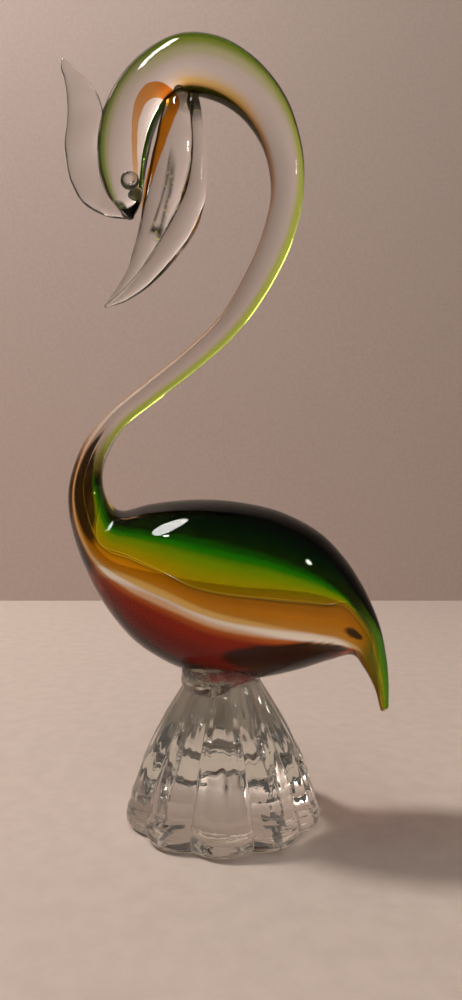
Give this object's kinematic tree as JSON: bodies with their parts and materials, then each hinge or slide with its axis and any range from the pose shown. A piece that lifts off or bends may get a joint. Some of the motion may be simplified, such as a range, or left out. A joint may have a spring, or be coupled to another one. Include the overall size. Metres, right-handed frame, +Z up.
{
  "type": "art glass bird ornament",
  "caption": "Clear-cased green and amber glass bird with a long hooked neck, crest and drooping bill, standing on a ribbed clear glass foot.",
  "frame": {"origin": "centre of the foot's flat underside, on the table", "axes": "+Z up; the bird faces -X, its tail is at +X; the plane y = 0 is its plane of symmetry"},
  "size_m": [0.1609, 0.0958, 0.3804],
  "materials": {
    "clear_glass": "fire-polished",
    "foot_glass": "fire-polished",
    "green_glass": "fire-polished",
    "amber_glass": "fire-polished"
  },
  "bodies": {
    "root": {"ribbed_foot": "foot_glass", "joining_wad": "clear_glass", "clear_casing": "clear_glass", "clear_core": "clear_glass", "green_back_bit": "green_glass", "amber_breast_bit": "amber_glass", "amber_throat_drop": "amber_glass", "crest": "clear_glass", "upper_bill": "clear_glass", "lower_bill": "clear_glass", "eye_left": "clear_glass", "eye_right": "clear_glass"}
  },
  "joints": []
}
